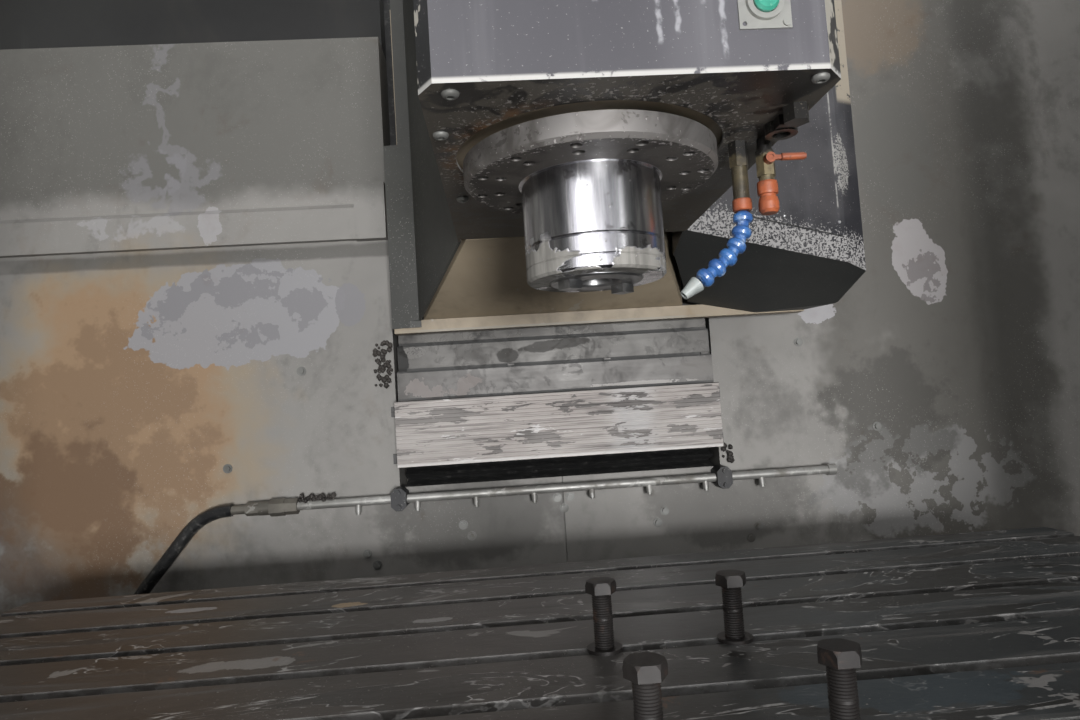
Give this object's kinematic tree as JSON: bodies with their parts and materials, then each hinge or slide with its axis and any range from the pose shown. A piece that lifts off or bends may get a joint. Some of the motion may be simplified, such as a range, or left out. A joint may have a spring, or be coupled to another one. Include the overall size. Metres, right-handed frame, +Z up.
{
  "type": "cnc machining center",
  "caption": "Vertical machining centre with an enclosure, sliding doors, T-slot table on cross slides, spindle head on a column and a telescopic way cover.",
  "frame": {"origin": "centre of the footprint on the floor", "axes": "+Z up, +X to the right as seen by the operator, +Y from the operator to the column"},
  "size_m": [2.58, 2.408, 2.406],
  "materials": {
    "casting_paint": "satin paint, grimy",
    "cast_iron": "machined iron, dark with oil",
    "bed_iron": "satin paint",
    "dark_sheet": "semi-gloss paint, scratched",
    "wing_paint": "satin paint, speckled",
    "wall_paint": "satin paint, worn and rusty",
    "panel_paint": "satin paint",
    "apron_paint": "satin paint",
    "guard_paint": "matt paint",
    "pan_steel": "worn paint",
    "tank_paint": "satin paint",
    "pump_paint": "gloss paint",
    "bright_steel": "ground",
    "screw_steel": "oiled",
    "worn_steel": "scraped sheet",
    "pipe_steel": "dull galvanised",
    "clamp_black": "matt",
    "fitting_brass": "dull",
    "bolt_steel": "blackened and rusty",
    "zinc_screw": "zinc plated",
    "hose_rubber": "matt",
    "bellows_fabric": "coated fabric",
    "motor_black": "satin paint",
    "motor_grey": "satin paint",
    "plate_grey": "brushed",
    "button_green": "gloss",
    "orange_plastic": "gloss",
    "blue_plastic": "satin",
    "nozzle_grey": "satin",
    "window": "laminated safety glass",
    "stop_red": "gloss"
  },
  "bodies": {
    "frame": {"bed": "bed_iron", "levelling_feet": "screw_steel", "column": "bed_iron", "chip_pan": "pan_steel", "back_wall_left": "wall_paint", "back_wall_right": "wall_paint", "side_wall_left": "panel_paint", "side_wall_right": "panel_paint", "front_panel_left": "panel_paint", "front_panel_right": "panel_paint", "front_apron": "apron_paint", "door_header": "apron_paint", "upper_guard": "guard_paint", "electrical_cabinet": "panel_paint", "coolant_tank": "tank_paint", "coolant_pump": "pump_paint", "flush_pipe": "pipe_steel", "pipe_clamps": "clamp_black", "pipe_fittings": "fitting_brass", "flush_hose": "hose_rubber", "wall_screws": "zinc_screw", "slat_stack": "worn_steel", "z_bellows": "bellows_fabric", "y_motor": "motor_black", "z_motor": "motor_black", "pendant_arm": "wall_paint"},
    "cabinet_door": {"cabinet_door": "panel_paint"},
    "y_screw": {"y_screw": "screw_steel"},
    "z_screw": {"z_screw": "screw_steel"},
    "x_screw": {"x_screw": "screw_steel"},
    "saddle": {"saddle": "bed_iron", "x_motor": "motor_black"},
    "table": {"table": "cast_iron", "slot_bolts": "bolt_steel"},
    "head": {"head_casting": "casting_paint", "head_cover": "dark_sheet", "wing_cover": "wing_paint", "side_box": "dark_sheet", "spindle_housing": "bright_steel", "spindle_motor": "motor_grey", "button_plate": "plate_grey", "coolant_valves": "fitting_brass", "hose_collars": "orange_plastic"},
    "spindle": {"spindle": "screw_steel", "spindle_shaft": "screw_steel"},
    "release_button": {"release_button": "button_green"},
    "valve_lever": {"valve_lever": "orange_plastic"},
    "coolant_hose": {"coolant_hose": "blue_plastic"},
    "hose_nozzle": {"hose_nozzle": "nozzle_grey"},
    "cover_plate_1": {"cover_plate_1": "worn_steel"},
    "cover_plate_2": {"cover_plate_2": "worn_steel"},
    "cover_plate_3": {"cover_plate_3": "worn_steel"},
    "door_left": {"door_left": "panel_paint", "door_window_left": "window"},
    "door_right": {"door_right": "panel_paint", "door_window_right": "window"},
    "control_pendant": {"control_pendant": "panel_paint"},
    "e_stop": {"e_stop_button": "stop_red"}
  },
  "joints": [
    {"name": "y_travel", "type": "slide", "parent": "frame", "child": "saddle", "axis": [0, 1, 0], "range_m": [-0.2625, 0.2375]},
    {"name": "x_travel", "type": "slide", "parent": "saddle", "child": "table", "axis": [1, 0, 0], "range_m": [-0.464, 0.536]},
    {"name": "head_lift", "type": "slide", "parent": "frame", "child": "head", "axis": [0, 0, 1], "range_m": [-0.17, 0.29], "deforming": ["z_bellows"]},
    {"name": "y_screw_turn", "type": "hinge", "parent": "frame", "child": "y_screw", "pos_m": [0, -0.356, 0.44], "axis": [0, 1, 0], "continuous": true},
    {"name": "x_screw_turn", "type": "hinge", "parent": "saddle", "child": "x_screw", "pos_m": [0, -0.3435, 0.688], "axis": [1, 0, 0], "continuous": true},
    {"name": "z_screw_turn", "type": "hinge", "parent": "frame", "child": "z_screw", "pos_m": [0, 0.32, 1.62], "axis": [0, 0, 1], "continuous": true},
    {"name": "cover_1_slide", "type": "slide", "parent": "frame", "child": "cover_plate_1", "axis": [0, 0, 1], "range_m": [-0.1275, 0.2175]},
    {"name": "cover_2_slide", "type": "slide", "parent": "frame", "child": "cover_plate_2", "axis": [0, 0, 1], "range_m": [-0.085, 0.145]},
    {"name": "cover_3_slide", "type": "slide", "parent": "frame", "child": "cover_plate_3", "axis": [0, 0, 1], "range_m": [-0.0425, 0.0725]},
    {"name": "spindle_turn", "type": "hinge", "parent": "head", "child": "spindle", "pos_m": [0, -0.356, 1.32], "axis": [0, 0, 1], "continuous": true},
    {"name": "release_press", "type": "slide", "parent": "head", "child": "release_button", "axis": [0, 1, 0], "range_m": [0, 0.004], "stiffness_N_per_m": 900},
    {"name": "valve_turn", "type": "hinge", "parent": "head", "child": "valve_lever", "pos_m": [0.164, -0.397, 1.352], "axis": [0, 1, 0], "range_deg": [0, 90]},
    {"name": "hose_swivel", "type": "hinge", "parent": "head", "child": "coolant_hose", "pos_m": [0.141, -0.374, 1.306], "axis": [0, 0, 1], "range_deg": [-90, 90]},
    {"name": "nozzle_tilt", "type": "hinge", "parent": "coolant_hose", "child": "hose_nozzle", "pos_m": [0.091, -0.38, 1.2405], "axis": [0, 1, 0], "range_deg": [-20, 20]},
    {"name": "door_left_slide", "type": "slide", "parent": "frame", "child": "door_left", "axis": [1, 0, 0], "range_m": [0, 0.565]},
    {"name": "door_right_slide", "type": "slide", "parent": "frame", "child": "door_right", "axis": [-1, 0, 0], "range_m": [0, 0.565]},
    {"name": "cabinet_door_swing", "type": "hinge", "parent": "frame", "child": "cabinet_door", "pos_m": [-0.567, 1.196, 1.08], "axis": [0, 0, 1], "range_deg": [0, 110]},
    {"name": "pendant_swing", "type": "hinge", "parent": "frame", "child": "control_pendant", "pos_m": [1.19, -1.121, 1.62], "axis": [0, 0, 1], "range_deg": [0, 90]},
    {"name": "e_stop_press", "type": "slide", "parent": "control_pendant", "child": "e_stop", "axis": [0, 1, 0], "range_m": [0, 0.005], "stiffness_N_per_m": 1500}
  ],
  "couplings": [
    {"joint": "y_screw_turn", "follows": "y_travel", "rad_per_m": 628.32},
    {"joint": "x_screw_turn", "follows": "x_travel", "rad_per_m": 628.32},
    {"joint": "z_screw_turn", "follows": "head_lift", "rad_per_m": 628.32},
    {"joint": "cover_1_slide", "follows": "head_lift", "ratio": 0.75},
    {"joint": "cover_2_slide", "follows": "head_lift", "ratio": 0.5},
    {"joint": "cover_3_slide", "follows": "head_lift", "ratio": 0.25}
  ]
}
